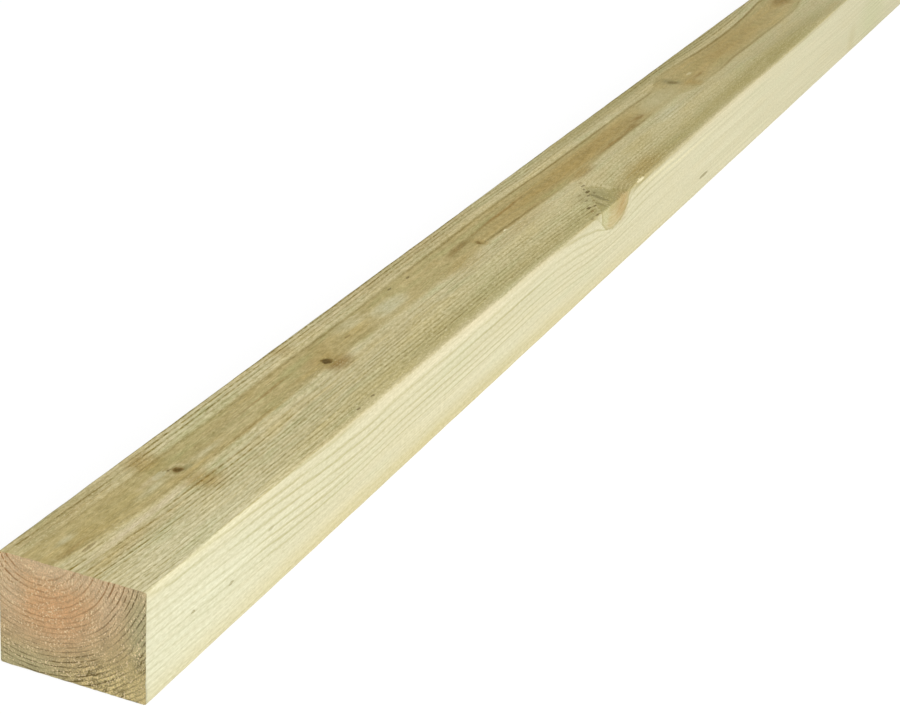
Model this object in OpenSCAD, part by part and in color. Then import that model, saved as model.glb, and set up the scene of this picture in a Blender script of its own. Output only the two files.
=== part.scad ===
// Sawn softwood batten, pressure treated, lying on one of its wide faces.
// Its section is drawn in X and Z, and its length runs along Y.

/* [Section] */
// Width of the faces that it lies on and is fixed through
width = 50; // [38:1:100]
// Thickness from the floor to the top face
thickness = 38; // [19:1:75]
// Radius to which the four long edges are eased
edge_radius = 0.8; // [0.3:0.1:3]

/* [Length] */
// Length between the two sawn ends
length = 1800; // [1200:100:4800]

/* [Wane] */
// How far the right-hand top edge falls away at its lowest point
wane_depth = 2.9; // [0.5:0.1:5]
// Width of the top face that falls away with that edge
wane_width = 20; // [8:1:25]
// Length of edge over which it falls away and comes back
wane_length = 740; // [400:10:1000]
// Distance from the near end to the lowest point of the wane
wane_from_end = 420; // [200:10:600]

/* [Hidden] */
// Slope of the wane across the section, down towards the edge
wane_slope = atan(wane_depth / wane_width);
// Depth of the wane, measured square to that slope
wane_rise = wane_depth * cos(wane_slope);
// Radius of the long hollow that leaves the wane: an arc of this rise on this chord
wane_radius = (pow(wane_length / 2, 2) + pow(wane_rise, 2)) / (2 * wane_rise);
// Facets of the hollow in previews, fine enough to draw so flat an arc
wane_facets = 3600;
// Facets of an eased edge in previews
edge_facets = 32;

// Outline of the sawn section, with its lower face on the X axis
module section() {
    flat_width = width - 2 * edge_radius;
    flat_height = thickness - 2 * edge_radius;
    translate([-width / 2, edge_radius]) square([width, flat_height]);
    translate([-flat_width / 2, 0]) square([flat_width, thickness]);
    for (side = [-1, 1], level = [edge_radius, thickness - edge_radius])
        translate([side * flat_width / 2, level]) circle(r = edge_radius, $fn = edge_facets);
}

// The long hollow that leaves the wane along the right-hand top edge
module wane_hollow() {
    middle_x = width / 2 - wane_width / 2;
    middle_y = wane_from_end - length / 2;
    middle_z = thickness - wane_depth / 2;
    translate([middle_x, middle_y, middle_z])
        rotate([0, wane_slope, 0])
            translate([0, 0, wane_radius])
                rotate([0, 90, 0])
                    cylinder(h = 2 * width, r = wane_radius, center = true, $fn = wane_facets);
}

// One length of batten, sawn from one piece of timber
module batten() {
    color("#d9d0a0")
        difference() {
            rotate([90, 0, 0]) linear_extrude(height = length, center = true) section();
            wane_hollow();
        }
}

batten();
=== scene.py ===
"""A length of sawn, pressure-treated softwood batten, dressed from the way its tree grew.

One field, the age of the wood at a point, gives the ring lines and knots on every face. The same node group
makes it for the colours and for the relief of the mesh, so that what looks like a ridge of late wood is one.
"""
import math
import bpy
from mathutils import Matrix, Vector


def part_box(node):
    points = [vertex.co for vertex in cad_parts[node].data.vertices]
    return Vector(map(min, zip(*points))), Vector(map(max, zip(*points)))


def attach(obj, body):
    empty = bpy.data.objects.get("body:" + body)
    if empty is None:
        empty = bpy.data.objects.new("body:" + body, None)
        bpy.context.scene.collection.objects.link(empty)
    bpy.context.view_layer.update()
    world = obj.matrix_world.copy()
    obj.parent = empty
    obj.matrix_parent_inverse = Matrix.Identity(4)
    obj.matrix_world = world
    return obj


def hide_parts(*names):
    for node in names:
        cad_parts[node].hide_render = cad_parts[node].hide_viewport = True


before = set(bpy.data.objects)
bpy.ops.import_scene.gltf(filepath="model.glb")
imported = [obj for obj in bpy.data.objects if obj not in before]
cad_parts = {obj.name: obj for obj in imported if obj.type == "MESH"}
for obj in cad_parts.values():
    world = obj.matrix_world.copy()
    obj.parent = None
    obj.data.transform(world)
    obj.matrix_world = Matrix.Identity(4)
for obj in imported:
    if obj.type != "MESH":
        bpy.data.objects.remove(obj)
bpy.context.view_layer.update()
from types import SimpleNamespace

import bpy
import numpy as np
from mathutils import Matrix, Vector
from mathutils.geometry import delaunay_2d_cdt

NODE = "batten"
MM = 0.001

# The batten, in millimetres from the lower left corner of its near end:
# x across to the right, y along to the far end, z up
LOW, HIGH = (np.array(corner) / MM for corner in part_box(NODE))
WIDTH, LENGTH, THICKNESS = HIGH - LOW

# The wane along the right-hand top edge, as in the solid
WANE_DEPTH = 2.9
WANE_WIDTH = 20.0
WANE_LENGTH = 740.0
WANE_FROM_END = 420.0
WANE_STRIP = 8.0

# How the edges are eased: least radius, how much it grows in places, and the lengths of that change
EDGE_RADIUS = 0.45
EDGE_WEAR = 0.4
EDGE_WAVES = (19, 37, 83, 210)
# The bevel of the ends: size, least share of it, lengths of its change in points, and its draw
END_BEVEL = 0.25
LEAST_BEVEL = 0.3
BEVEL_WAVES = (5, 11, 23)
BEVEL_SEED = 9
# By what factors any such length varies
WAVE_SPREAD = (0.8, 1.2)

# How far the relief of the wide faces, the edges, the ends and the knots goes into the wood
WIDE_RELIEF = 0.16
EDGE_RELIEF = 0.02
END_RELIEF = 0.3
KNOT_SINK = 0.25
# What the relief of the long faces is made of, and how much of it smooth sawing takes away
EARLY_DEPTH = 0.45
FUZZ_DEPTH = 0.7
WAVE_DEPTH = 0.5
SMOOTHED = 0.7
# Late wood that makes a full ridge, and range of knot over which the wood sinks
FULL_RIDGE = 0.6
SUNK_KNOT = (0.2, 0.7)
# What the relief of the ends is made of, and where in the noise torn fibre sets in
END_EARLY = 0.3
END_TORN = 1.1
TORN_FROM = 0.25
# The roughest part of the near end: place, half sizes and how much rougher it is
ROUGH_SPOT = ((40, 0, 0), (32, 5, 16))
ROUGHER = 1.6
# The chip by the large knot: place, half sizes, depth, and how that follows the torn fibre
CHIP_SPOT = ((50, 435, 35), (2, 6, 1.2))
CHIP_DEPTH = 0.45
CHIP_FLOOR = 0.55
CHIP_TORN = 0.9
# Noises of the relief: waves to a millimetre across, along and up, detail and roughness
RELIEF_NOISES = {
    "fuzz": ((0.9, 0.22, 0.9), 3.0, 0.65),
    "torn": ((1.1, 1.1, 1.1), 3.0, 0.7),
    "wave": ((0.11, 0.02, 0.11), 2.0, 0.5),
}

# Mesh spacing on the top, right, bottom and left, round an eased edge, on the ends and along the length
STEPS = (0.62, 0.75, 1.25, 1.25)
ARC_STEPS = 4
END_STEP = 0.72
NEAR_ROW = 1.6
ROW_GROWTH = 1.0068
# Points on the ends: their scatter within a cell, the two draws, and how close two may come
END_SCATTER = 0.3
END_SEEDS = (1, 2)
NEAREST = 1e-6
# Share of the thickness above which an outline is its top, and how level a wide face is
TOP_FROM = 0.75
WIDE_SLOPE = (0.35, 0.9)
# Share of the texture's height for the row that holds the two ends, and the gap between its parts
END_BAND = 0.108
TEXTURE_GAP = 0.004

# Growth of the stem: mean width of a year's ring, how many rings there are by distance from the pith,
# and the line of the pith, which runs just above the top face (along, across, up)
RING_WIDTH = 1.7
RINGS = ((0, 0), (8.5, 4.6), (11.0, 5.6), (33.2, 18.6), (60, 36.3))
PITH_LINE = (
    (0, 13.2, 44.8), (30, 15.0, 43.6), (63, 16.3, 42.7), (100, 16.5, 42.5), (150, 16.1, 43.0),
    (216, 16.2, 43.4), (270, 16.0, 43.0), (316, 15.9, 42.7), (350, 16.5, 41.7), (383, 17.6, 40.5),
    (416, 18.2, 41.2), (450, 17.8, 42.6), (485, 17.9, 43.0), (525, 18.0, 43.4), (560, 18.2, 44.0),
    (590, 18.0, 44.0), (616, 18.6, 44.6), (650, 19.3, 46.4), (683, 19.7, 46.6), (716, 19.4, 46.2),
    (750, 18.7, 44.8), (783, 17.5, 43.0),
    (860, 17.0, 44.0), (1000, 15.0, 46.0), (1200, 17.5, 43.0), (1400, 16.0, 46.5), (1600, 18.5, 43.5),
    (1800, 16.0, 45.5),
)
# Radius of the dark ring round the core, which is a later ring in some places than in others
DARK_RING = ((0, 8.5), (555, 8.5), (590, 12.7), (760, 12.7), (810, 9.4), (1200, 11.5), (1800, 8.5))
# How dark that ring is along the length
BORDER = ((0, 0.4), (110, 0.18), (170, 0.45), (240, 0.35), (310, 0.7), (400, 0.8), (480, 0.6), (545, 0.6),
          (575, 0.15), (600, 0.6), (690, 0.95), (800, 0.8), (1300, 0.5), (1800, 0.8))
# Swellings of the stem over its whorls of branches: place, half sizes and how much older the wood seems there
SWELLS = (
    ((50, 62, 24), (28, 90, 22), 2.45),
    ((50, 178, 24), (28, 36, 26), 0.2),
    ((-2, 300, 40), (11, 1200, 16), 0.4),
    ((31, 170, 38), (6, 180, 8), -1.3),
    ((25, 256, 38), (5, 75, 6), -1.2),
    ((0, 300, 20), (20, 70, 26), 1.2),
    ((25, 640, 0), (30, 90, 16), 1.4),
    ((50, 760, 16), (26, 60, 30), 0.8),
    ((50, 1040, 20), (28, 70, 30), 1.6),
    ((0, 1190, 20), (20, 60, 26), 1.4),
    ((25, 1310, 0), (30, 80, 16), 1.6),
    ((50, 1480, 20), (28, 60, 30), 1.2),
)
# How the stem wanders: waves to a millimetre across, along and up, detail and distance
STEM_WANDER = (
    ((0.035, 0.009, 0.035), 1.0, 1.3),
    ((0.2, 0.035, 0.2), 2.0, 0.7),
)
# How uneven the rings are: waves to a millimetre, place in the noise, and number of rings
UNEVEN_WAVES = 0.17
UNEVEN_PLACE = (7.3, 2.1)
UNEVEN_RINGS = 0.5
# When in a year late wood sets in and stops, for crisp lines and for soft ones
CRISP_LATE = ((0.45, 0.84), (0.9, 1.0))
SOFT_LATE = ((0.5, 0.8), (0.82, 0.98))
# How dark late wood is by distance from the pith, the least share left by chance, and a branch's loss
LATE_STRENGTH = ((0, 0.15), (7.4, 0.12), (8.5, 0.4), (9.3, 0.2), (10.5, 0.25), (11.5, 0.85), (14, 0.95),
                 (30, 0.85), (60, 0.8))
LEAST_LATE = 0.75
LATE_LOST = 0.4
WIDEST_RADIUS = 60.0
# What the growth of the stem says of a place
GROWN = ("Age", "Radius", "Arc", "Late", "Line", "Inside", "Knot")

# Branches: where each shows on a face, where along the pith it began, its radius where it shows and how much
# longer than high it is, how far from the pith it starts and stops, over how many rings the grain bends
# round it, and how dark it is
KNOTS = (
    ((18.3, 72, 38), 74, 1.9, 1.7, 0, 14, 1.4, 0.8),
    ((20.6, 173, 38), 174, 1.7, 1.5, 0, 14, 1.6, 0.88),
    ((20.8, 313, 38), 315, 1.4, 1.4, 0, 12, 1.2, 0.42),
    ((15.6, 582, 38), 584, 1.7, 2.2, 0, 14, 2.2, 0.1),
    ((50.0, 398, 36), 411, 9.8, 2.0, 14, 90, 4.0, 0.0),
    ((30.0, 250, 0), 258, 5.5, 1.3, 12, 90, 3.0, 0.15),
    ((0.0, 470, 17), 478, 4.6, 1.4, 9, 60, 3.0, 0.12),
    ((14.0, 700, 0), 709, 5.0, 1.3, 12, 90, 3.0, 0.16),
    ((19.0, 905, 38), 907, 2.0, 1.1, 0, 14, 1.6, 0.9),
    ((13.0, 1052, 38), 1054, 1.6, 1.1, 0, 12, 1.6, 0.8),
    ((50.0, 1103, 19), 1111, 5.5, 1.4, 12, 90, 3.5, 0.12),
    ((22.0, 1222, 38), 1224, 1.8, 1.1, 0, 16, 2.0, 0.9),
    ((0.0, 1288, 24), 1295, 4.4, 1.4, 9, 60, 3.0, 0.15),
    ((34.0, 1421, 0), 1430, 6.0, 1.3, 12, 90, 3.5, 0.15),
    ((17.0, 1396, 38), 1398, 1.6, 1.1, 0, 14, 1.6, 0.9),
    ((50.0, 1532, 27), 1540, 5.0, 1.4, 12, 90, 3.0, 0.15),
    ((15.0, 1652, 38), 1654, 1.8, 1.1, 0, 14, 1.8, 0.9),
)
# All branches: ring widths grown in a year, ageing past the end, rim and least age in rings, and the waves
# to a millimetre and distance by which the outline is shaken
BRANCH_LEAD = 3.0
PAST_REACH = 2.0
BRANCH_RIM = 1.9
LEAST_YEARS = 0.5
KNOT_WAVES = (0.6, 0.3, 0.6)
KNOT_SHAKE = (1.6, 2.4, 1.6)

# Colours as they would show in plain light, 0 to 255
COLOURS = {
    "brown": (170, 145, 82),
    "umber": (144, 117, 58),
    "border": (152, 134, 76),
    "dun": (186, 175, 126),
    "pale": (204, 199, 160),
    "rose": (216, 201, 162),
    "sage": (152, 144, 96),
    "bark": (82, 64, 12),
    "knot": (126, 102, 48),
    "speck": (150, 142, 104),
    "straw": (240, 230, 186),
    "olive": (160, 148, 90),
    "orange": (178, 154, 102),
    "tan": (188, 172, 122),
    "shadow": (106, 98, 58),
    "sand": (200, 189, 142),
    "blush": (226, 215, 180),
    "green": (196, 196, 154),
    "cream": (226, 218, 178),
    "milk": (214, 213, 184),
    "heart": (222, 172, 122),
    "ash": (220, 196, 157),
    "moss": (190, 182, 138),
    "splinter": (222, 204, 146),
    "tuft": (252, 230, 184),
    "torn": (112, 98, 50),
}
# How far a lighter or darker spot moves red, green and blue: dark wood is the yellower
SHADE = (0.9, 0.95, 1.35)
# What late wood leaves of the light on the wide faces, the edges and the ends
WIDE_LATE = (170, 157, 84)
EDGE_LATE = (212, 209, 178)
END_LATE = ((0, (200, 166, 130)), (24, (190, 160, 124)), (33, (146, 136, 108)), (58, (138, 128, 92)))
# Colour of the early wood by distance from the pith, on the wide faces, the edges and the ends
WIDE_FACE = ((0, (192, 176, 122)), (7.8, (190, 174, 120)), (9.0, (201, 188, 138)), (10.4, (212, 201, 155)),
             (13, (208, 197, 152)), (24, (208, 198, 153)), (36, (206, 196, 150)))
EDGE_FACE = ((0, (204, 188, 142)), (9, (206, 196, 155)), (30, (210, 204, 170)), (58, (207, 201, 168)))
END_FACE = ((0, (218, 183, 138)), (12, (218, 181, 134)), (24, (215, 177, 130)), (31, (207, 177, 134)),
            (38, (198, 175, 129)), (47, (192, 173, 121)), (58, (200, 182, 128)))

# Broad tints over the early wood, the edges' share of them, and the drift of colours in millimetres
TINTS = ((0.3, (238, 247, 240)), (0.5, (249, 248, 246)), (0.7, (252, 246, 230)))
EDGE_TINT = 0.25
COLOUR_DRIFT = 0.6

# The usual range and middle of a noise, and the share of a spot's reach that is spot in full
NOISE_RANGE = (0.25, 0.75)
NOISE_MIDDLE = 0.5
SPOT_CORE = 0.1
# Noises drawn out along the grain: waves to a ring and to a millimetre along, and detail
GRAIN_NOISES = {
    "fade": (0.5, 0.013, 1.0),
    "streak": (1.6, 0.03, 4.0),
    "hair": (2.6, 0.22, 2.0),
    "dots": (1.5, 0.38, 1.0),
}
GRAIN_SLANT = 0.16
# Noises drawn out along an end's rings: waves to a ring and to a millimetre, detail and place
RING_NOISES = {
    "breaks": (0.6, 0.1, 2.0, 5.0),
    "dashes": (1.2, 0.22, 3.0, 3.0),
    "torn": (1.9, 0.24, 3.0, 7.0),
    "tufts": (2.6, 1.3, 2.0, 9.0),
    "crowds": (0.7, 0.12, 2.0, 11.0),
}
DRAWN_ROUGH = 0.6
# Noises of the place alone, given as those of the relief
PLACE_NOISES = {
    "fuzz": ((1.5, 0.4, 1.5), 3.0, 0.7),
    "grit": ((1.9, 0.8, 1.9), 2.0, 0.6),
    "cloud": ((0.14, 0.02, 0.14), 4.0, 0.65),
    "straight": ((1.1, 0.006, 1.1), 4.0, 0.6),
    "combed": ((1.3, 0.06, 1.3), 3.0, 0.6),
}
# What a noise leaves of something: low and high values of the noise, and the shares left at these
BORDER_FADE = (0.3, 0.55, 0.45, 1.1)
LATE_FADE = (0.34, 0.6, 0.5, 1.05)
LATE_DOTS = (0.32, 0.62, 0.45, 1.2)
LINE_FADE = (0.3, 0.6, 0.5, 1.0)
MARK_STREAK = (0.25, 0.7, 0.65, 1.2)
FLECK_GRIT = (0.3, 0.55, 0.6, 1.1)
KNOT_FUZZ = (0.3, 0.7, 0.7, 1.25)
END_BREAKS = (0.35, 0.6, 0.25, 1.1)
END_LINE_GRIT = (0.3, 0.6, 0.5, 1.3)
TUFT_CROWDS = (0.4, 0.6, 0.15, 1.0)
# The same by distance from the pith, for streaks and for raised fibre
CORE_FIBRE = (6.0, 11.0, 0.9, 1.0)
RAISED_CORE = (7.0, 10.0, 0.12, 0.4)
# Where the dark ring round the core and the rim of a branch come and go
BORDER_RING = ((7.5, 8.3), (8.7, 9.5))
RIM_LINE = ((0.0, 0.1), (0.15, 0.6))
RIM_STRENGTH = 0.6
# Over which amounts of branch, knot, grit, late wood or noise a colour comes in
BRANCH_TINT = (0.0, 0.8, 0.0, 0.85)
KNOT_BROWN = (0.0, 0.55)
KNOT_BARK = (0.35, 0.95)
RAISED_GRIT = (0.56, 0.7)
END_LINE = (0.25, 0.8)
TORN_EDGE = (0.53, 0.6, 0.0, 0.85)
TUFT_EDGE = (0.55, 0.62, 0.0, 0.9)
# How far noises lighten and darken the wide faces, the edges and the ends, and how much more torn ends
WIDE_STREAK = 0.18
WIDE_HAIR = 0.2
WIDE_FUZZ = 0.25
EDGE_STRAIGHT = 0.13
EDGE_FUZZ = 0.16
END_DASHES = 0.2
END_GRIT = 0.26
TORN_LIGHT = 1.4
# What is left of the streaks where the rings are faint, and of all fibre where the sawing is smooth
CALM_FIBRE = 0.4
SMOOTH_FIBRE = 0.8
# Between these distances along it the sawing gets smoother
SMOOTHER = (250.0, 650.0)
# Heights of the bump in millimetres, the share of it on the edges, and how dull the wood is
COMB_HEIGHT = 0.2
FUZZ_HEIGHT = 0.18
GRIT_HEIGHT = 0.2
EDGE_BUMP = 0.1
ROUGHNESS = (0.2, 0.8, 0.72, 0.9)
SPECULAR = 0.25

# Marks on the long faces: colour, place and half sizes, each across, along and up, and strength; a place
# without a height is on the top face, and half sizes without one have TOP_REACH
TOP_REACH = 3
MARKS = (
    ("cream", (46, 25), (16, 90, 5), 0.55),
    ("brown", (4, 25), (7, 60, 4), 0.55),
    ("brown", (30, 22), (5, 46), 0.28),
    ("rose", (26.0, 42), (2.2, 48), 0.85),
    ("olive", (16, 45), (8, 40), 0.3),
    ("sage", (6.5, 13), (5, 16), 0.2),
    ("umber", (17.8, 11), (2.0, 11), 0.5),
    ("pale", (13.2, 16), (2.2, 7), 0.45),
    ("dun", (40, 330, 37), (16, 240, 7), 0.5),
    ("dun", (38, 640), (18, 330, 5), 0.6),
    ("olive", (46, 250), (10, 200, 6), 0.6),
    ("olive", (47, 450, 36), (9, 190, 6), 0.75),
    ("olive", (46, 630), (11, 270, 5), 0.9),
    ("rose", (3, 190), (8, 160, 4), 0.1),
    ("olive", (1, 590), (9, 300, 4), 0.75),
    ("brown", (3, 290), (8, 130, 4), 0.36),
    ("olive", (3, 480), (7, 80, 4), 0.25),
    ("dun", (33, 480), (9, 70), 0.4),
    ("olive", (35, 478), (6, 24), 0.25),
    ("pale", (31, 531), (5, 26), 0.65),
    ("brown", (18.5, 400), (9, 120), 0.75),
    ("brown", (18, 670), (14, 130), 0.65),
    ("brown", (29, 71), (10, 11, 4), 0.8),
    ("brown", (7, 71), (10, 11, 4), 0.75),
    ("rose", (18.3, 72), (4.5, 8), 0.35),
    ("pale", (19.8, 87), (2.8, 16), 0.5),
    ("pale", (18.2, 59), (2.6, 14), 0.45),
    ("rose", (15.4, 60), (2.4, 12), 0.35),
    ("umber", (15.6, 135), (1.0, 40), 0.6),
    ("sand", (17, 112), (7, 26), 0.3),
    ("brown", (23.6, 120), (1.4, 46), 0.55),
    ("brown", (21, 174), (10, 14, 4), 0.6),
    ("umber", (26, 174.5), (5.5, 13, 4), 0.8),
    ("brown", (14, 182), (5, 12, 4), 0.35),
    ("orange", (17, 166), (4, 11), 0.4),
    ("brown", (4, 172), (6, 8, 4), 0.5),
    ("brown", (22.5, 204), (4, 18), 0.2),
    ("pale", (13, 208), (5, 18), 0.45),
    ("pale", (26.3, 194), (1.8, 14), 0.4),
    ("brown", (25, 287), (5, 26), 0.55),
    ("sand", (19, 230), (7, 26), 0.7),
    ("pale", (18.5, 232), (5.2, 18), 0.8),
    ("umber", (16.6, 303), (2.6, 20), 0.9),
    ("brown", (21.5, 314), (6, 5), 0.7),
    ("umber", (15.3, 350), (1.3, 50), 0.8),
    ("umber", (24.2, 350), (1.2, 42), 0.55),
    ("brown", (18, 470), (8, 66), 0.7),
    ("umber", (23.6, 474), (1.5, 38), 0.7),
    ("umber", (22.8, 498), (2.0, 18), 0.7),
    ("umber", (20.8, 514), (2.4, 11), 0.85),
    ("umber", (19, 500), (5, 26), 0.3),
    ("brown", (28, 345), (6, 42), 0.3),
    ("dun", (18, 552), (11, 40), 0.95),
    ("sand", (20, 548), (8, 34), 0.4),
    ("sage", (9, 578), (7, 8), 0.35),
    ("sage", (14, 583), (8, 9), 0.5),
    ("shadow", (15.8, 582), (6.5, 6), 0.6),
    ("brown", (25, 589), (7, 10), 0.75),
    ("umber", (22.6, 604), (1.6, 14), 0.6),
    ("umber", (17, 788), (8, 28), 1.0),
    ("brown", (26.5, 420), (4.5, 20), 0.8),
    ("umber", (28, 424), (1.6, 15), 0.5),
    ("tan", (35, 424), (6, 18), 0.4),
    ("sage", (40, 398, 37), (9, 14, 5), 0.5),
    ("brown", (45, 452, 36), (8, 42, 5), 0.55),
    ("sage", (37, 388), (5, 13, 4), 0.35),
    ("tan", (46, 422, 36), (4.5, 13, 4), 0.6),
    ("orange", (50, 411, 31), (5, 12, 11), 0.95),
    ("green", (50, 388, 31), (5, 9, 9), 0.6),
    ("tan", (50, 128), (5, 50, 3.5), 0.6),
    ("sand", (50, 230, 0), (6, 380, 11), 0.75),
    ("blush", (53, 240, 35.5), (6, 190, 7.5), 1.0),
    ("blush", (53, 560, 35.5), (6, 200, 7.5), 0.75),
    ("straw", (50, 468, 31.5), (6, 55, 1.6), 0.35),
    ("straw", (50, 500, 28.2), (6, 70, 1.3), 0.3),
    ("milk", (50, 15, 18), (6, 120, 24), 0.7),
    ("green", (50, 890, 12), (6, 60, 24), 0.6),
    ("dun", (50, 838, 8), (6, 14, 14), 0.35),
)
# How the outlines of marks and of flecks wander: waves to a millimetre, detail, and how far
MARK_WAVES = (0.5, 0.07, 0.5)
MARK_DETAIL = 3.0
MARK_WANDER = (1.8, 9.0, 1.2)
FLECK_WAVES = (1.1, 0.5, 1.1)
FLECK_WANDER = (0.8, 2.6, 0.8)
# Flecks, small and with a firm edge: colour, place, half sizes and strength
FLECKS = (
    ("knot", (21.5, 15), (0.9, 5, 2), 0.5),
    ("bark", (11.5, 247), (0.6, 2.2, 2), 0.6),
    ("bark", (12.4, 262), (0.6, 2.0, 2), 0.6),
    ("knot", (18, 197), (0.7, 3.0, 2), 0.5),
    ("bark", (46.9, 157.5), (0.7, 1.8), 0.6),
    ("bark", (47.4, 144.5), (0.7, 1.6), 0.6),
    ("sage", (20.1, 75.5), (1.6, 3.4, 2), 0.6),
    ("pale", (15.7, 65.5), (1.7, 5.0, 2), 0.45),
    ("bark", (16.5, 70), (0.55, 1.1, 2), 0.6),
    ("knot", (15.4, 68.8), (0.45, 0.9, 2), 0.5),
    ("bark", (32.6, 405), (0.8, 2.6), 0.6),
    ("bark", (36.6, 400, 37), (0.9, 2.6), 0.8),
    ("knot", (35.5, 393, 37), (0.6, 2.2), 0.5),
    ("bark", (34.4, 401.5), (0.7, 2.0), 0.6),
    ("knot", (30.5, 407), (0.7, 2.2), 0.5),
    ("bark", (38.4, 396.5, 37), (0.7, 2.0), 0.6),
    ("bark", (39.8, 390, 37), (0.6, 2.0), 0.5),
    ("bark", (39.1, 402, 37), (0.6, 1.8), 0.5),
    ("knot", (42.0, 393, 37), (0.6, 2.2), 0.5),
    ("knot", (46.0, 381, 36), (0.8, 2.2), 0.6),
    ("sand", (32.4, 425), (0.8, 5.5), 0.6),
    ("sand", (36.8, 422, 37), (0.9, 5.0), 0.6),
    ("sand", (41.6, 413, 37), (2.4, 3.0), 0.7),
    ("sage", (43.0, 404.0, 36), (6.5, 3.0), 0.45),
    ("shadow", (43.0, 398.5, 36), (6.0, 2.0), 0.5),
    ("sand", (45.0, 395.0, 36), (4.0, 1.6), 0.35),
    ("shadow", (46.2, 391.5, 36), (3.6, 1.6), 0.4),
    ("olive", (48.3, 389, 36), (2.6, 4.2), 0.5),
    ("bark", (43.6, 383, 36), (0.9, 2.6), 0.75),
    ("bark", (44.6, 388, 36), (0.6, 2.0), 0.6),
    ("bark", (49.0, 379, 36), (0.6, 1.8), 0.5),
    ("bark", (49.0, 373, 36), (0.5, 1.8), 0.5),
    ("straw", (24.7, 333), (0.6, 2.2, 2), 0.9),
    ("knot", (16.2, 582), (3.0, 2.8, 2), 0.35),
    ("straw", (18.0, 603), (1.1, 4.5, 2), 0.35),
    # The chip at the right-hand top edge: partly the pale fresh wood where it broke out, partly a painted
    # highlight on it
    ("straw", (50, 435.5, 34.8), (4, 6.0, 0.5), 0.8),
    ("speck", (50, 538, 7.5), (4, 9, 1.0), 0.8),
    ("speck", (50, 51, 16), (4, 1.9, 0.8), 0.7),
    ("speck", (50, 27.5, 18), (4, 1.5, 0.7), 0.7),
    ("speck", (50, 77, 23), (4, 2.4, 0.8), 0.4),
    ("speck", (50, 94, 25), (4, 2.4, 0.8), 0.2),
)
# Places where a face shows its rings faintly: place, half sizes and how much is taken away
CALM = (
    ((26, 42), (2.8, 50, 4), 0.8),
    ((4, 30), (6, 55, 4), 0.3),
    ((5, 360), (6, 60, 4), 0.35),
    ((32, 362), (8, 55, 5), 0.4),
    ((24, 260), (4.5, 72, 4), 0.85),
    ((45, 455, 36), (7, 45, 5), 0.4),
    ((43, 400, 37), (9, 18, 5), 0.7),
    ((29, 25), (5, 50, 4), 0.25),
    ((5, 490), (5, 100, 4), 0.6),
    ((44, 15), (12, 75, 6), 0.3),
    ((28.5, 260), (6.5, 210, 6), 0.55),
    ((42, 250), (13, 300, 6), 0.3),
    ((29, 680), (4, 120, 4), 0.2),
    ((24, 552), (11, 36, 4), 0.9),
    ((31, 440), (9, 115, 5), 0.7),
    ((44, 720), (19, 330, 8), 0.8),
    ((50, 240), (5, 150, 9), 0.9),
    ((50, 10, 14), (8, 80, 26), 0.4),
    ((50, 60, 3), (8, 110, 13), 0.6),
    ((50, 370, 20), (8, 80, 26), 0.3),
    ((50, 150, 0), (8, 120, 18), 0.9),
    ((50, 270, 0), (8, 150, 18), 0.9),
    ((50, 400, 0), (8, 150, 14), 0.9),
    ((50, 490, 6), (8, 100, 24), 0.65),
    ((50, 600, 20), (8, 200, 40), 0.55),
    ((50, 860, 14), (8, 450, 40), 0.75),
)
# From which share of a soft spot on a firm one is whole
FIRM = 0.3

# Marks on the cut ends, as on the long faces, and where these are torn: place and half sizes
END_MARKS = (
    ("heart", (19, 0, 22), (17, 9, 16), 0.6),
    ("ash", (25, 0, 37), (36, 9, 9), 0.65),
    ("ash", (3, 0, 27), (9, 9, 15), 0.7),
    ("ash", (37, 0, 30), (9, 9, 10), 0.5),
    ("moss", (49, 0, 25), (9, 9, 20), 0.85),
    ("moss", (8, 0, 1), (26, 9, 10), 0.75),
    ("splinter", (43, 0, 2), (22, 9, 12), 0.6),
    ("heart", (18, 1800, 26), (16, 9, 14), 0.6),
    ("ash", (38, 1800, 14), (14, 9, 16), 0.5),
)
TORN = (
    ((33, 0, 2), (20, 9, 13)),
    ((49, 0, 14), (7, 9, 10)),
    ((20, 1800, 0), (30, 9, 12)),
)
# Ring lines on the cut ends: how dark they are in general, and where more so (place, half sizes, how much)
END_RINGS = 0.42
DARK_RINGS = (
    ((46, 0, 36), (22, 9, 24), 0.7),
    ((0, 0, 36), (12, 9, 16), 0.6),
    ((14, 0, 1), (28, 9, 12), 0.6),
    ((30, 0, 4), (20, 9, 12), 0.6),
    ((40, 1800, 30), (20, 9, 20), 0.5),
)

# The photograph's camera, fitted to the batten's edges
CAMERA_PLACE = Vector((0.30545, -1.38037, 0.35809))
CAMERA_AIM = Vector((-0.34133, 0.85040, -0.40039))
CAMERA_UP = Vector((-0.21391, 0.34451, 0.91409))
CAMERA_LENS = 88.9
CAMERA_SENSOR = 36.0

# Studio: metres and watts
FLOOR_SIZE = 8.0
FLOOR_DROP = -0.0002
FLOOR_PALE = 0.8
FLOOR_SHADE = 0.22
FLOOR_GLOW = 0.86
WORLD_LIGHT = 0.5
KEY_AIM = Vector((0.0, -0.6, 0.0))
KEY_DIRECTION = Vector((0.75, -0.3, 0.5))
KEY_DISTANCE = 2.6
KEY_SIZE = (1.6, 1.6)
KEY_POWER = 55.0


def linear(colour):
    """A colour given as 0 to 255 in display values, as linear red, green, blue and alpha."""
    share = np.array(colour) / 255
    value = np.where(share <= 0.04045, share / 12.92, ((share + 0.055) / 1.055) ** 2.4)
    return (*value.tolist(), 1.0)


def paint(name):
    """A colour of the list, ready for a node."""
    return linear(COLOURS[name])


class Number:
    """A value in a node tree, which takes the signs of arithmetic."""

    def __init__(self, web, socket):
        self.web = web
        self.socket = socket

    def __add__(self, other):
        return self.web.math("ADD", self, other)

    def __sub__(self, other):
        return self.web.math("SUBTRACT", self, other)

    def __rsub__(self, other):
        return self.web.math("SUBTRACT", other, self)

    def __mul__(self, other):
        return self.web.math("MULTIPLY", self, other)

    __rmul__ = __mul__

    def __truediv__(self, other):
        return self.web.math("DIVIDE", self, other)


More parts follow.
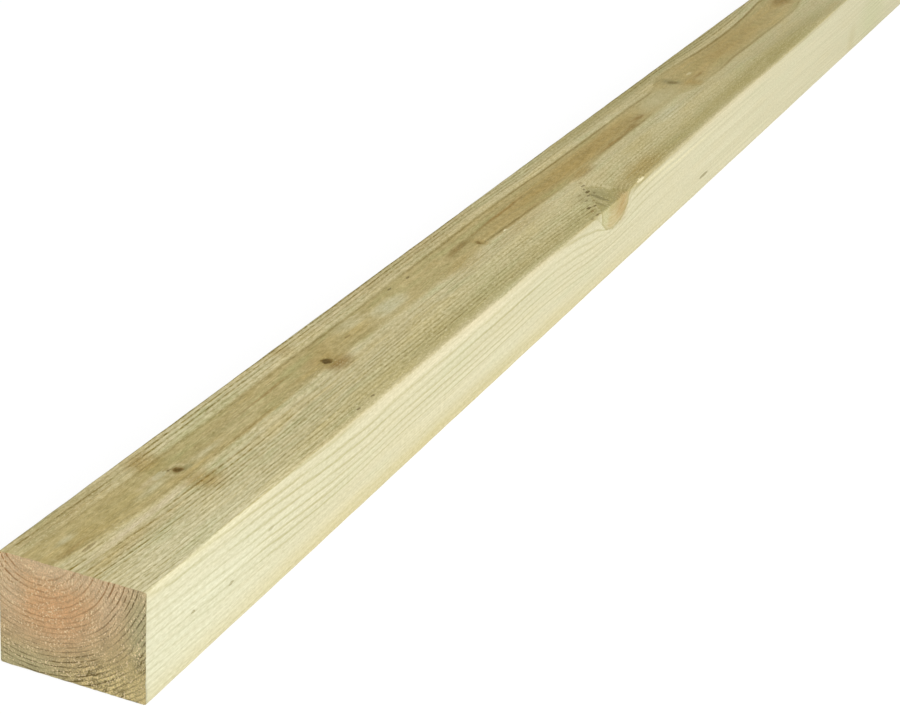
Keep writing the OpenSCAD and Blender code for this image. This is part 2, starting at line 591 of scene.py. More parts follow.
class Web:
    """A short way to write a node tree: most calls add a node and give back its output."""

    def __init__(self, tree):
        self.tree = tree

    def plug(self, socket, value):
        value = getattr(value, "socket", value)
        if isinstance(value, bpy.types.NodeSocket):
            self.tree.links.new(value, socket)
        else:
            socket.default_value = value

    def node(self, kind, inputs=None, **settings):
        node = self.tree.nodes.new(kind)
        for name, value in settings.items():
            setattr(node, name, value)
        for key, value in (inputs or {}).items():
            self.plug(node.inputs[key], value)
        return node

    def take(self, output, kind, inputs=None, **settings):
        return Number(self, self.node(kind, inputs, **settings).outputs[output])

    def math(self, operation, *values):
        return self.take(0, "ShaderNodeMath", dict(enumerate(values)), operation=operation)

    def at_least(self, share, low):
        """Carries a share from the range 0 to 1 over to the range low to 1."""
        return share * (1.0 - low) + low

    def vector(self, operation, *values):
        output = "Value" if operation in ("LENGTH", "DOT_PRODUCT") else "Vector"
        return self.take(output, "ShaderNodeVectorMath", dict(enumerate(values)), operation=operation)

    def scale(self, vector, factor):
        return self.take(0, "ShaderNodeVectorMath", {0: vector, "Scale": factor}, operation="SCALE")

    def split(self, vector):
        return [Number(self, part) for part in self.node("ShaderNodeSeparateXYZ", {0: vector}).outputs]

    def join(self, x, y, z):
        return self.take(0, "ShaderNodeCombineXYZ", {0: x, 1: y, 2: z})

    def noise(self, place, waves=None, detail=2.0, rough=0.5, output="Fac"):
        """Noise at a place; waves gives its counts to a millimetre across, along and up."""
        if waves:
            place = self.vector("MULTIPLY", place, waves)
        inputs = {"Vector": place, "Scale": 1.0, "Detail": detail, "Roughness": rough}
        return self.take(output, "ShaderNodeTexNoise", inputs)

    def wander(self, place, waves, reach, detail=2.0):
        """A place moved at random, so that what is drawn by it gets an uneven outline."""
        noise = self.noise(place, waves, detail, output="Color")
        shift = self.vector("SUBTRACT", noise, (NOISE_MIDDLE,) * 3)
        return self.vector("MULTIPLY_ADD", shift, reach, place)

    def between(self, value, low, high, start=0.0, end=1.0, smooth=True):
        """Carries value from the range low to high over to the range start to end."""
        inputs = {"Value": value, "From Min": low, "From Max": high, "To Min": start, "To Max": end}
        kind = "SMOOTHSTEP" if smooth else "LINEAR"
        return self.take("Result", "ShaderNodeMapRange", inputs, interpolation_type=kind)

    def band(self, value, rise, fall):
        """1 between two ranges, through which it rises from 0 and falls back to it."""
        return self.between(value, *rise) * self.between(value, *fall, 1.0, 0.0)

    def swing(self, noise, amount):
        """A noise as a change to either side by an amount."""
        return self.between(noise, *NOISE_RANGE, -amount, amount, smooth=False)

    def curve(self, value, points, span, top=1.0):
        """A smooth curve through points, pairs of a value from 0 to span and a result from 0 to top."""
        node = self.node("ShaderNodeFloatCurve", {"Value": value / span})
        curve = node.mapping.curves[0]
        while len(curve.points) < len(points):
            curve.points.new(0.5, 0.5)
        for point, (place, result) in zip(curve.points, points):
            point.location = (place / span, result / top)
            point.handle_type = "AUTO_CLAMPED"
        node.mapping.update()
        return Number(self, node.outputs[0]) * top

    def ramp(self, value, stops, span=1.0):
        """A colour for each value from 0 to span; stops are pairs of a value and a colour."""
        node = self.node("ShaderNodeValToRGB", {0: value / span})
        band = node.color_ramp.elements
        while len(band) < len(stops):
            band.new(0.5)
        for element, (place, colour) in zip(band, stops):
            element.position = place / span
            element.color = linear(colour)
        return Number(self, node.outputs[0])

    def mix(self, factor, first, second, blend="MIX"):
        """Mixes two colours; the node has its sockets for colours after those for numbers and vectors."""
        inputs = {0: factor, 6: first, 7: second}
        return self.take(2, "ShaderNodeMix", inputs, data_type="RGBA", blend_type=blend)

    def group(self, tree, **inputs):
        kind = "ShaderNodeGroup" if tree.bl_idname == "ShaderNodeTree" else "GeometryNodeGroup"
        return self.named(self.node(kind, inputs, node_tree=tree).outputs)

    def named(self, outputs):
        return {output.name: Number(self, output) for output in outputs}


def new_group(name, kind, inputs, outputs):
    """An empty node group; inputs and outputs map a name to the kind of its socket."""
    tree = bpy.data.node_groups.new(f"{name}_{kind}", kind)
    for way, sockets in (("INPUT", inputs), ("OUTPUT", outputs)):
        for label, socket in sockets.items():
            tree.interface.new_socket(label, in_out=way, socket_type=f"NodeSocket{socket}")
    web = Web(tree)
    return web, web.named(web.node("NodeGroupInput").outputs), web.node("NodeGroupOutput").inputs


def fresh_web(owner):
    """The emptied node tree of a material or a world."""
    owner.use_nodes = True
    owner.node_tree.nodes.clear()
    return Web(owner.node_tree)


def add_object(name, data):
    added = bpy.data.objects.new(name, data)
    bpy.context.scene.collection.objects.link(added)
    return added


def pith_at(along):
    """The pith's place at a distance along the batten."""
    ys, xs, zs = zip(*PITH_LINE)
    return np.array([np.interp(along, ys, xs), along, np.interp(along, ys, zs)])


def spot_group(kind):
    """A soft-edged patch round a centre, 1 in the middle and 0 outside."""
    inputs = dict.fromkeys(("Place", "Centre", "Reach"), "Vector")
    web, given, result = new_group("Spot", kind, inputs, {"Share": "Float"})
    offset = web.vector("DIVIDE", web.vector("SUBTRACT", given["Place"], given["Centre"]), given["Reach"])
    web.plug(result["Share"], web.between(web.vector("LENGTH", offset), SPOT_CORE, 1.0, 1.0, 0.0))
    return web.tree


def branch_group(kind):
    """Lowers the age of the wood where a branch grew, and says how far inside it a point lies."""
    changed = ("Age", "Inside", "Knot")
    vectors = ("Place", "Origin", "Direction", "Flatten")
    numbers = ("Start", "Spread", "Reach", "Blend", "Darkness")
    inputs = dict.fromkeys(vectors, "Vector") | dict.fromkeys(changed + numbers, "Float")
    web, given, result = new_group("Branch", kind, inputs, dict.fromkeys(changed, "Float"))
    offset = web.vector("SUBTRACT", given["Place"], given["Origin"])
    ahead = web.vector("DOT_PRODUCT", offset, given["Direction"])
    aside = web.vector("SUBTRACT", offset, web.scale(given["Direction"], ahead))
    aside = web.vector("LENGTH", web.vector("MULTIPLY", aside, given["Flatten"]))
    past = web.math("MAXIMUM", ahead - given["Reach"], 0.0)
    own = web.math("ABSOLUTE", ahead) / (BRANCH_LEAD * RING_WIDTH) + given["Start"]
    own = own + aside / given["Spread"] + past * PAST_REACH
    inside = web.between(given["Age"] - own, 0.0, BRANCH_RIM)
    web.plug(result["Age"], web.math("SMOOTH_MIN", given["Age"], own, given["Blend"]))
    web.plug(result["Inside"], web.math("MAXIMUM", given["Inside"], inside))
    web.plug(result["Knot"], web.math("MAXIMUM", given["Knot"], inside * given["Darkness"]))
    return web.tree


def branch_values(shows, begins, radius, oval, starts, reach, blend, darkness):
    """A knot of the list as the branch group's inputs."""
    origin = pith_at(begins)
    run = np.array(shows, float) - origin
    length = np.linalg.norm(run)
    from_pith = np.linalg.norm((shows - pith_at(shows[1]))[[0, 2]])
    first, years = np.interp((from_pith * starts / length, from_pith), *zip(*RINGS))
    lead = BRANCH_LEAD * RING_WIDTH
    start = max(first - starts / lead, 0.0)
    return {"Origin": tuple(origin), "Direction": tuple(run / length), "Flatten": (1.0, 1.0 / oval, 1.0),
            "Start": start, "Spread": radius / max(years - length / lead - start, LEAST_YEARS),
            "Reach": length + reach - starts, "Blend": blend, "Darkness": darkness}


def stem_radius(web, place, kind):
    """Distances from the pith, in a stem that isn't quite round or straight, and along the ring."""
    x, y, z = web.split(place)
    right = x - web.curve(y, [(along, across) for along, across, up in PITH_LINE], LENGTH, WIDTH)
    down = web.curve(y, [(along, up) for along, across, up in PITH_LINE], LENGTH, LENGTH) - z
    radius = web.vector("LENGTH", web.join(right, 0.0, down))
    arc = web.math("ARCTAN2", right, down) * radius
    spot = spot_group(kind)
    for centre, reach, amount in SWELLS:
        radius = radius + web.group(spot, Place=place, Centre=centre, Reach=reach)["Share"] * amount
    for waves, detail, amount in STEM_WANDER:
        radius = radius + (web.noise(place, waves, detail) - NOISE_MIDDLE) * amount
    return radius, arc


def growth_group(kind):
    """What grew at a place in mm: the wood's age in rings, its distance from the pith and along its ring,
    crisp and soft shares of late wood, and how far inside a branch it lies."""
    web, given, result = new_group("Growth", kind, {"Place": "Vector"}, dict.fromkeys(GROWN, "Float"))
    place = given["Place"]
    radius, arc = stem_radius(web, place, kind)
    uneven = web.noise(web.join(radius * UNEVEN_WAVES, *UNEVEN_PLACE), detail=1.0)
    rings = web.curve(radius, RINGS, WIDEST_RADIUS, RINGS[-1][1])
    grown = {"Age": rings + uneven * UNEVEN_RINGS, "Inside": 0.0, "Knot": 0.0}
    shaken = web.wander(place, KNOT_WAVES, KNOT_SHAKE)
    branch = branch_group(kind)
    for values in KNOTS:
        grown = web.group(branch, Place=shaken, **grown, **branch_values(*values))
    age, inside, knot = grown.values()

    radius = radius + (DARK_RING[0][1] - web.curve(web.split(place)[1], DARK_RING, LENGTH, WIDEST_RADIUS))
    chance = web.take(0, "ShaderNodeTexWhiteNoise", {"W": web.math("FLOOR", age)}, noise_dimensions="1D")
    strength = web.curve(radius, LATE_STRENGTH, WIDEST_RADIUS) * web.at_least(chance, LEAST_LATE)
    strength = strength * (1.0 - inside * LATE_LOST)
    phase = web.math("FRACT", age)
    late = web.band(phase, *CRISP_LATE) * strength
    line = web.band(phase, *SOFT_LATE) * strength
    for name, value in zip(GROWN, (age, radius, arc, late, line, inside, knot)):
        web.plug(result[name], value)
    return web.tree


def wood_fields(web):
    """All that the wood's colour and bump are worked out from, at the place being shaded."""
    place = web.scale(web.take("Object", "ShaderNodeTexCoord"), 1 / MM)
    place = web.vector("SUBTRACT", place, tuple(LOW))
    x, y, z = web.split(place)
    grown = web.group(growth_group("ShaderNodeTree"), Place=place)
    field = {name.lower(): grown[name] for name in GROWN}
    field.update(
        place=place, along=y, spot=spot_group("ShaderNodeTree"),
        wide=web.take("Fac", "ShaderNodeAttribute", attribute_name="wide_face"),
        end=web.take("Fac", "ShaderNodeAttribute", attribute_name="cut_end"),
    )
    level = (x - z) * GRAIN_SLANT
    for name, (across, along, detail) in GRAIN_NOISES.items():
        spot = web.join(grown["Age"] * across, y * along, level)
        field[name] = web.noise(spot, detail=detail, rough=DRAWN_ROUGH)
    for name, (across, around, detail, seed) in RING_NOISES.items():
        spot = web.join(grown["Age"] * across, grown["Arc"] * around, seed)
        field[name] = web.noise(spot, detail=detail, rough=DRAWN_ROUGH)
    for name, values in PLACE_NOISES.items():
        field[name] = web.noise(place, *values)
    return SimpleNamespace(**field)


def patch(web, field, centre, reach, place=None, firm=False):
    """1 in the middle of a patch, or over most of a firm one, and 0 outside; without a height, on the top."""
    centre = (*centre, THICKNESS)[:3]
    reach = (*reach, TOP_REACH)[:3]
    share = web.group(field.spot, Place=place or field.place, Centre=centre, Reach=reach)["Share"]
    return web.between(share, 0.0, FIRM) if firm else share


def add_spots(web, field, colour, spots, spread, place=None, firm=False):
    """Lays patches of colour over a colour; spread makes their strength uneven."""
    for name, centre, reach, strength in spots:
        share = patch(web, field, centre, reach, place, firm) * strength * spread
        colour = web.mix(share, colour, paint(name))
    return colour


def early_wood(web, field):
    """The colour of the long faces before any lines: early wood, branches and stains."""
    radius = field.radius + web.swing(field.cloud, COLOUR_DRIFT)
    edge, wide = (web.ramp(radius, face, WIDEST_RADIUS) for face in (EDGE_FACE, WIDE_FACE))
    colour = web.mix(field.wide, edge, wide)
    colour = web.mix(web.at_least(field.wide, EDGE_TINT), colour, web.ramp(field.cloud, TINTS), "MULTIPLY")
    uneven = web.between(field.streak, *MARK_STREAK)
    inside = web.between(field.inside, *BRANCH_TINT) * uneven
    colour = web.mix(inside, colour, web.mix(field.wide, paint("tan"), paint("sage")))
    places = web.wander(field.place, MARK_WAVES, MARK_WANDER, MARK_DETAIL)
    colour = add_spots(web, field, colour, MARKS, uneven, places)
    rim = web.band(field.inside, *RIM_LINE) * RIM_STRENGTH
    return web.mix(rim * uneven, colour, paint("olive"))


def shown_rings(web, field):
    """How much of the rings shows on the long faces."""
    shown = 1.0
    for centre, reach, taken in CALM:
        shown = shown * (1.0 - patch(web, field, centre, reach, firm=True) * taken)
    return shown


def add_rings(web, field, colour, shown):
    """Lays the ring lines over a colour, crisp and broken on the wide faces and soft on the edges."""
    border = web.band(field.radius, *BORDER_RING) * web.curve(field.along, BORDER, LENGTH)
    border = border * web.between(field.fade, *BORDER_FADE) * shown
    late = field.late * shown * web.between(field.fade, *LATE_FADE) * web.between(field.dots, *LATE_DOTS)
    line = field.line * shown * web.between(field.fade, *LINE_FADE)
    wide = web.mix(border, colour, paint("border"))
    wide = web.mix(late, wide, linear(WIDE_LATE), "MULTIPLY")
    edge = web.mix(line, colour, linear(EDGE_LATE), "MULTIPLY")
    return web.mix(field.wide, edge, wide)


def add_fibre(web, field, colour, shown):
    """Lightens and darkens a colour by streaks and fuzz, coarse on the wide faces and faint on the edges."""
    coarse = web.swing(field.streak, WIDE_STREAK) + web.swing(field.hair, WIDE_HAIR)
    coarse = coarse * web.at_least(shown, CALM_FIBRE) + web.swing(field.fuzz, WIDE_FUZZ)
    coarse = coarse * web.between(field.radius, *CORE_FIBRE)
    coarse = coarse * web.between(field.along, *SMOOTHER, 1.0, SMOOTH_FIBRE)
    fine = web.swing(field.straight, EDGE_STRAIGHT) + web.swing(field.fuzz, EDGE_FUZZ)
    light = (coarse - fine) * field.wide + fine
    shade = web.vector("MULTIPLY_ADD", web.join(light, light, light), SHADE, (1.0, 1.0, 1.0))
    raised = web.between(field.grit, *RAISED_GRIT) * web.between(field.radius, *RAISED_CORE) * field.wide
    return web.mix(raised, web.vector("MULTIPLY", colour, shade), paint("straw"))


def long_colour(web, field):
    """The colour of the long faces: early wood, stains, ring lines, streaks, raised fibre and knots."""
    shown = shown_rings(web, field)
    colour = add_rings(web, field, early_wood(web, field), shown)
    colour = add_fibre(web, field, colour, shown)
    places = web.wander(field.place, FLECK_WAVES, FLECK_WANDER)
    colour = add_spots(web, field, colour, FLECKS, web.between(field.grit, *FLECK_GRIT), places, firm=True)
    knot = field.knot * web.between(field.fuzz, *KNOT_FUZZ)
    colour = web.mix(web.between(knot, *KNOT_BROWN), colour, paint("knot"))
    return web.mix(web.between(knot, *KNOT_BARK), colour, paint("bark"))


def end_colour(web, field):
    """The colour of a cut end: rings across the grain, and fibre, torn where the blade came out."""
    rough = 0.0
    for centre, reach in TORN:
        rough = web.math("MAXIMUM", rough, patch(web, field, centre, reach))
    dark = END_RINGS
    for centre, reach, more in DARK_RINGS:
        dark = patch(web, field, centre, reach) * more + dark
    colour = add_spots(web, field, web.ramp(field.radius, END_FACE, WIDEST_RADIUS), END_MARKS, 1.0)
    late = web.between(field.late, *END_LINE) * web.between(field.breaks, *END_BREAKS) * dark
    late = late * web.between(field.grit, *END_LINE_GRIT)
    colour = web.mix(late, colour, web.ramp(field.radius, END_LATE, WIDEST_RADIUS), "MULTIPLY")

    light = web.swing(field.dashes, END_DASHES) + web.swing(field.grit, END_GRIT)
    colour = web.scale(colour, light * (rough * TORN_LIGHT + 1.0) + 1.0)
    colour = web.mix(rough * web.between(field.torn, *TORN_EDGE), colour, paint("torn"))
    tuft = web.between(field.tufts, *TUFT_EDGE) * web.between(field.crowds, *TUFT_CROWDS)
    return web.mix(tuft, colour, paint("tuft"))


def wood_bump(web, field):
    """Fine relief in millimetres: combed and fuzzy fibre, most on the coarse faces, and grit on the ends."""
    height = field.combed * COMB_HEIGHT + field.fuzz * FUZZ_HEIGHT
    height = height * web.math("MAXIMUM", web.at_least(field.wide, EDGE_BUMP), field.end)
    height = height + field.grit * field.end * GRIT_HEIGHT
    return web.take(0, "ShaderNodeBump", {"Height": height, "Strength": 1.0, "Distance": MM})


def wood_material():
    """Treated softwood, coloured on every face from one field."""
    material = bpy.data.materials.new("treated_softwood")
    web = fresh_web(material)
    field = wood_fields(web)
    colour = web.mix(field.end, long_colour(web, field), end_colour(web, field))
    rough = web.between(field.streak, *ROUGHNESS, smooth=False)
    shader = web.node("ShaderNodeBsdfPrincipled",
                      {"Base Color": colour, "Roughness": rough, "Normal": wood_bump(web, field)})
    shader.inputs["Specular IOR Level"].default_value = SPECULAR
    web.node("ShaderNodeOutputMaterial", {"Surface": shader.outputs[0]})
    return material


def row_places():
    """Distances along the batten of the rings of vertices, close together near the photographed end."""
    places = [0.0, END_BEVEL]
    step = NEAR_ROW
    while places[-1] + step < LENGTH - END_BEVEL:
        places.append(places[-1] + step)
        step *= ROW_GROWTH
    return np.array(places[:-1] + [LENGTH - END_BEVEL, LENGTH])


def wane_fall(x, y):
    """How far the top face has fallen away at a place across and along the batten."""
    rise = WANE_DEPTH * math.cos(math.atan(WANE_DEPTH / WANE_WIDTH))
    radius = ((WANE_LENGTH / 2) ** 2 + rise ** 2) / (2 * rise)
    sagitta = radius - np.sqrt(radius ** 2 - (y - WANE_FROM_END) ** 2)
    across = (x - (WIDTH - WANE_WIDTH)) / WANE_WIDTH
    return np.maximum(WANE_DEPTH * across - sagitta * WANE_DEPTH / rise, 0)


def smooth_step(value, low, high):
    share = np.clip((value - low) / (high - low), 0, 1)
    return share * share * (3 - 2 * share)


def wavy(values, seed, lengths):
    """A smooth random wave from 0 to 1 along values, made of a few sines of about the given lengths."""
    draw = np.random.default_rng(seed)
    waves = []
    for length in lengths:
        period = length * draw.uniform(*WAVE_SPREAD)
        waves.append(np.sin(2 * math.pi * (values / period + draw.random())))
    return 0.5 + 0.5 * np.mean(waves, axis=0)


def turned(angle):
    """The direction across and up at an angle in degrees from the right."""
    return np.array([math.cos(math.radians(angle)), math.sin(math.radians(angle))])


def section_rings(rows):
    """The batten's long surface as rows of rings: points, outward normals and each one's side.

    A ring runs over the top from left to right, down the right side, back along the bottom and up the left.
    """
    corners = np.array([(0, THICKNESS), (WIDTH, THICKNESS), (WIDTH, 0), (0, 0)], float)
    middle = np.array([WIDTH, THICKNESS]) / 2
    spans = (WIDTH, THICKNESS, WIDTH, THICKNESS)
    radii = [EDGE_RADIUS + EDGE_WEAR * wavy(rows, number, EDGE_WAVES)[:, None] for number in range(4)]
    centres = [corner + np.sign(middle - corner) * radius for corner, radius in zip(corners, radii)]
    points, normals, sides = [], [], []
    for side in range(4):
        following = (side + 1) % 4
        for step in range(ARC_STEPS):
            normal = turned(180 - 90 * side - 90 * step / ARC_STEPS)
            points.append(centres[side] + radii[side] * normal)
            normals.append(normal)
            sides.append(side)
        normal = turned(90 - 90 * side)
        first = centres[side] + radii[side] * normal
        last = centres[following] + radii[following] * normal
        count = round(spans[side] / STEPS[side])
        for step in range(count):
            points.append(first + (last - first) * step / count)
            normals.append(normal)
            sides.append(side)
    flat = np.stack(points, 1)
    along = np.broadcast_to(rows[:, None], flat.shape[:2])
    return np.stack([flat[..., 0], along, flat[..., 1]], -1), np.array(normals), np.array(sides)


def lower_wane(points, sides):
    """Lowers the right-hand top edge to the wane, and the strip of the right side below it."""
    x, y, z = points[..., 0], points[..., 1], points[..., 2]
    over_side = np.where(sides == 1, smooth_step(z, THICKNESS - WANE_STRIP, THICKNESS - 2 * EDGE_RADIUS), 1.0)
    top_half = np.where(z > THICKNESS / 2, over_side, 0.0)
    points[..., 2] = z - wane_fall(x, y) * top_half


def bevel_ends(points, normals):
    """Draws the first and the last ring of points in by an uneven bevel."""
    places = np.arange(len(normals), dtype=float)
    inset = END_BEVEL * (LEAST_BEVEL + wavy(places, BEVEL_SEED, BEVEL_WAVES))
    for row in (0, -1):
        points[row, :, 0] -= normals[:, 0] * inset
        points[row, :, 2] -= normals[:, 1] * inset


def end_points(outline, seed):
    """A cut end's outline filled with scattered points: the points added, and triangles between all."""
    draw = np.random.default_rng(seed)
    low, high = outline.min(0), outline.max(0)
    counts = np.round((high - low) / END_STEP).astype(int)
    grid = np.stack(np.meshgrid(*[np.arange(1, count) for count in counts], indexing="ij"), -1).reshape(-1, 2)
    inner = low + (grid + draw.uniform(-END_SCATTER, END_SCATTER, grid.shape)) * (high - low) / counts
    inner = inner[inner[:, 1] < np.interp(inner[:, 0], *top_edge(outline)) - END_STEP / 2]
    ring = len(outline)
    loop = [(k, (k + 1) % ring) for k in range(ring)]
    flat = [Vector(point) for point in np.vstack([outline, inner])]
    result = delaunay_2d_cdt(flat, loop, [], 1, NEAREST)
    return inner, [tuple(face) for face in result[2]]


def top_edge(outline):
    """The upper side of a section's outline, as its places across and their heights, from left to right."""
    upper = outline[outline[:, 1] > THICKNESS * TOP_FROM]
    upper = upper[np.argsort(upper[:, 0])]
    return upper[:, 0], upper[:, 1]


def field_values(points):
    """Late wood, knots and noises at points, worked out by the node groups that also give the colours."""
    mesh = bpy.data.meshes.new("field_probe")
    mesh.from_pydata(points.tolist(), [], [])
    probe = add_object("field_probe", mesh)
    sockets = {"Geometry": "Geometry"}
    web, given, result = new_group("Field", "GeometryNodeTree", sockets, sockets)
    place = web.node("GeometryNodeInputPosition").outputs[0]
    grown = web.group(growth_group("GeometryNodeTree"), Place=place)
    fields = {"late": grown["Late"], "knot": grown["Knot"]}
    for name, values in RELIEF_NOISES.items():
        fields[name] = web.noise(place, *values)
    geometry = given["Geometry"]
    for name, value in fields.items():
        inputs = {"Geometry": geometry, "Name": name, "Value": value}
        geometry = web.node("GeometryNodeStoreNamedAttribute", inputs).outputs[0]
    web.plug(result["Geometry"], geometry)
    probe.modifiers.new("field", "NODES").node_group = web.tree
    shown = probe.evaluated_get(bpy.context.evaluated_depsgraph_get()).data
    found = {}
    for name in fields:
        found[name] = np.empty(len(points), np.float32)
        shown.attributes[name].data.foreach_get("value", found[name])
    bpy.data.objects.remove(probe)
    bpy.data.meshes.remove(mesh)
    return found


def soft_spot(points, centre, reach):
    """1 at a centre, falling to 0 at the half sizes given by reach."""
    distance = np.linalg.norm((points - np.array(centre)) / np.array(reach), axis=-1)
    return 1 - smooth_step(distance, SPOT_CORE, 1.0)


def long_relief(points, wide, values):
    """How far the long faces lie below the flat: saw fuzz, ring ridges, sunken knots, a chip."""
    coarse = WIDE_RELIEF * wide + EDGE_RELIEF * (1 - wide)
    coarse = coarse * (1 - SMOOTHED * smooth_step(points[:, 1], *SMOOTHER))
    early = 1 - smooth_step(values["late"], 0.0, FULL_RIDGE)
    depth = coarse * (EARLY_DEPTH * early + FUZZ_DEPTH * values["fuzz"] + WAVE_DEPTH * values["wave"])
    depth = depth + KNOT_SINK * smooth_step(values["knot"], *SUNK_KNOT) * values["fuzz"]
    chip = CHIP_DEPTH * soft_spot(points, *CHIP_SPOT)
    return depth + chip * (CHIP_FLOOR + CHIP_TORN * values["torn"])


def end_relief(points, values):
    """How far a cut end lies below the flat: torn fibre, roughest where the blade came out."""
    rough = END_RELIEF * (1 + ROUGHER * soft_spot(points, *ROUGH_SPOT))
    return rough * (END_EARLY * (1 - values["late"]) + END_TORN * np.clip(values["torn"] - TORN_FROM, 0, 1))


def add_relief(points, normals, wide, near, far):
    """Presses the relief into the long faces, then into the points of the near and the far end."""
    values = field_values(points)
    count = len(wide)
    long_values = {name: value[:count] for name, value in values.items()}
    depth = long_relief(points[:count], wide, long_values).reshape(-1, len(normals))
    depth[[0, -1]] = 0
    points[:count, 0] -= (depth * normals[:, 0]).ravel()
    points[:count, 2] -= (depth * normals[:, 1]).ravel()
    cut = end_relief(points, values)
    points[near, 1] += cut[near]
    points[far, 1] -= cut[far]


def long_faces(row_count, ring):
    """The corners of the faces between each ring of points and the next."""
    quads = []
    for row in range(row_count - 1):
        for place in range(ring):
            following = (place + 1) % ring
            quads.append((row * ring + place, row * ring + following,
                          (row + 1) * ring + following, (row + 1) * ring + place))
    return quads


def set_attribute(mesh, name, domain, values):
    mesh.attributes.new(name, "FLOAT", domain).data.foreach_set("value", values.astype(np.float32))


def batten_mesh():
    """The whole batten as one closed mesh, with its relief, face attributes and texture layout."""
    rows = row_places()
    rings, normals, sides = section_rings(rows)
    lower_wane(rings, sides)
    bevel_ends(rings, normals)
    row_count, ring = rings.shape[:2]
    near, near_faces = end_points(rings[0][:, [0, 2]], END_SEEDS[0])
    far, far_faces = end_points(rings[-1][:, [0, 2]], END_SEEDS[1])
    near = np.insert(near, 1, 0.0, axis=1)
    far = np.insert(far, 1, LENGTH, axis=1)
    points = np.vstack([rings.reshape(-1, 3), near, far])
    count = row_count * ring
    near_all = np.r_[0:ring, count:count + len(near)]
    far_all = np.r_[count - ring:count, count + len(near):len(points)]
    wide = np.tile(smooth_step(np.abs(normals[:, 1]), *WIDE_SLOPE), row_count)
    add_relief(points, normals, wide, near_all, far_all)

    quads = long_faces(row_count, ring)
    caps = []
    for indices, triangles, turn in ((near_all, near_faces, 1), (far_all, far_faces, -1)):
        caps += [tuple(int(indices[k]) for k in triangle[::turn]) for triangle in triangles]
    mesh = bpy.data.meshes.new("batten_wood")
    mesh.from_pydata(((points + LOW) * MM).tolist(), [], quads + caps)
    set_attribute(mesh, "wide_face", "POINT", np.r_[wide, np.zeros(len(near) + len(far))])
    set_attribute(mesh, "cut_end", "FACE", np.r_[np.zeros(len(quads)), np.ones(len(caps))])
    mesh.polygons.foreach_set("use_smooth", np.ones(len(mesh.polygons), bool))
    sharpen_ends(mesh, ring, row_count)
    lay_out_texture(mesh, rows, ring, len(quads))
    mesh.validate()
    return mesh


def sharpen_ends(mesh, ring, row_count):
    """Marks the edges round the two cut ends as sharp."""
    last = ring * (row_count - 1)
    for edge in mesh.edges:
        lower, upper = sorted(edge.vertices)
        if upper < ring or (last <= lower and upper < last + ring):
            edge.use_edge_sharp = True


def lay_out_texture(mesh, rows, ring, quad_count):
    """Lays out the long faces in two strips, one for each half of the length, and the ends in a row above."""
    split = int(np.argmin(np.abs(rows - LENGTH / 2)))
    strip = (1 - END_BAND - 3 * TEXTURE_GAP) / 2
    row, place = np.divmod(np.arange(quad_count), ring)
    half = (row >= split).astype(int)
    limits = rows[[0, split, -1]]
    places = np.empty((len(mesh.loops), 2), np.float32)
    for k, (down, over) in enumerate(((0, 0), (0, 1), (1, 1), (1, 0))):
        along = (rows[row + down] - limits[half]) / (limits[half + 1] - limits[half])
        around = half * (strip + TEXTURE_GAP) + (place + over) / ring * strip
        places[k:4 * quad_count:4, 0] = TEXTURE_GAP + along * (1 - 2 * TEXTURE_GAP)
        places[k:4 * quad_count:4, 1] = TEXTURE_GAP + around
    size = (END_BAND - 2 * TEXTURE_GAP) / THICKNESS
    for polygon in mesh.polygons[quad_count:]:
        far = polygon.center.y > 0
        for loop in polygon.loop_indices:
            point = np.array(mesh.vertices[mesh.loops[loop].vertex_index].co) / MM - LOW
            across = point[0] * size + far * (WIDTH * size + TEXTURE_GAP)
            places[loop] = (TEXTURE_GAP + across, 1 - END_BAND + TEXTURE_GAP + point[2] * size)
    mesh.uv_layers.new(name="OFBake").data.foreach_set("uv", places.ravel())


def make_batten():
    piece = add_object("batten_wood", batten_mesh())
    piece.data.materials.append(wood_material())
    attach(piece, "root")
    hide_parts(NODE)


def seen_share(web):
    """1 for rays that show the background itself: from the camera, in gloss or through glass."""
    path = web.node("ShaderNodeLightPath").outputs
    shown = web.math("MAXIMUM", path["Is Camera Ray"], path["Is Glossy Ray"])
    return web.math("MAXIMUM", shown, path["Is Transmission Ray"])


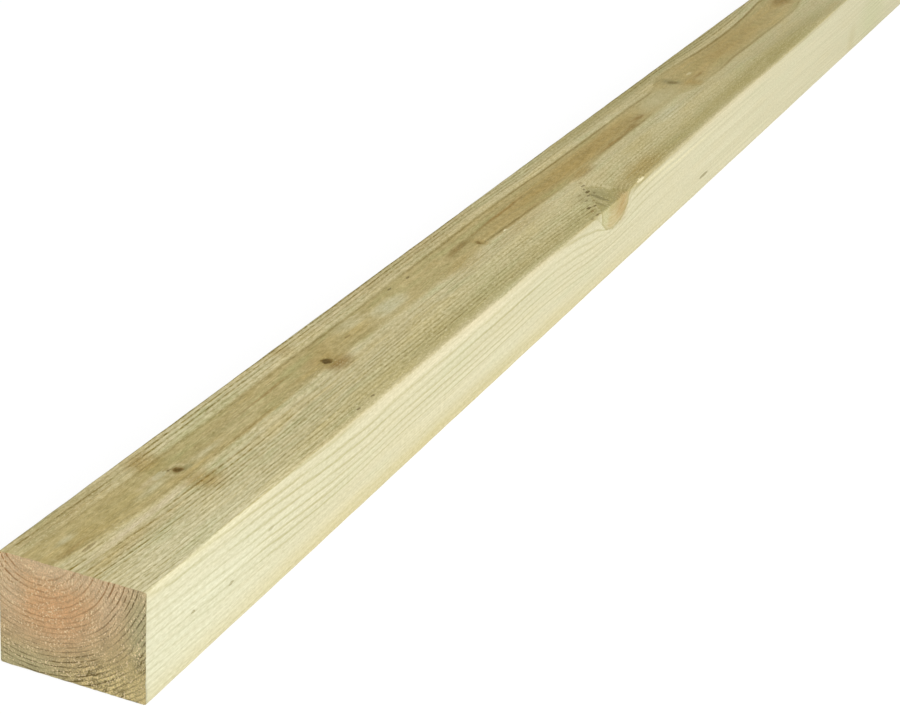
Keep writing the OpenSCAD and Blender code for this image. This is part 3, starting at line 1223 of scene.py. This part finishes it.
def make_floor():
    """A pale floor that shows white apart from the soft shadow on it."""
    mesh = bpy.data.meshes.new("floor")
    half = FLOOR_SIZE / 2
    corners = [(x * half, y * half, FLOOR_DROP) for x, y in ((-1, -1), (1, -1), (1, 1), (-1, 1))]
    mesh.from_pydata(corners, [], [(0, 1, 2, 3)])
    floor = add_object("floor", mesh)
    material = bpy.data.materials.new("floor")
    web = fresh_web(material)
    shown = seen_share(web)
    pale = web.mix(shown, (*[FLOOR_PALE] * 3, 1), (*[FLOOR_SHADE] * 3, 1))
    diffuse = web.node("ShaderNodeBsdfDiffuse", {"Color": pale})
    glow = web.node("ShaderNodeEmission", {"Strength": shown * FLOOR_GLOW})
    both = web.node("ShaderNodeAddShader", {0: diffuse.outputs[0], 1: glow.outputs[0]})
    web.node("ShaderNodeOutputMaterial", {"Surface": both.outputs[0]})
    mesh.materials.append(material)


def make_lights():
    """Even light from all round, and one broad soft lamp from the right."""
    world = bpy.data.worlds.new("studio")
    bpy.context.scene.world = world
    web = fresh_web(world)
    strength = web.between(seen_share(web), 0.0, 1.0, WORLD_LIGHT, 1.0, smooth=False)
    background = web.node("ShaderNodeBackground", {"Color": (1, 1, 1, 1), "Strength": strength})
    web.node("ShaderNodeOutputWorld", {"Surface": background.outputs[0]})
    lamp = bpy.data.lights.new("key", "AREA")
    lamp.shape = "RECTANGLE"
    lamp.size, lamp.size_y = KEY_SIZE
    lamp.energy = KEY_POWER
    key = add_object("key", lamp)
    key.location = KEY_AIM + KEY_DIRECTION.normalized() * KEY_DISTANCE
    key.rotation_euler = KEY_DIRECTION.to_track_quat("Z", "Y").to_euler()


def make_camera():
    data = bpy.data.cameras.new("camera")
    data.sensor_width = CAMERA_SENSOR
    data.lens = CAMERA_LENS
    camera = add_object("camera", data)
    right = CAMERA_AIM.cross(CAMERA_UP).normalized()
    turn = Matrix((right, CAMERA_UP.normalized(), -CAMERA_AIM.normalized())).transposed()
    camera.matrix_world = Matrix.Translation(CAMERA_PLACE) @ turn.to_4x4()
    bpy.context.scene.camera = camera


make_camera()
make_lights()
make_floor()
make_batten()
bpy.context.scene.view_settings.view_transform = "Standard"
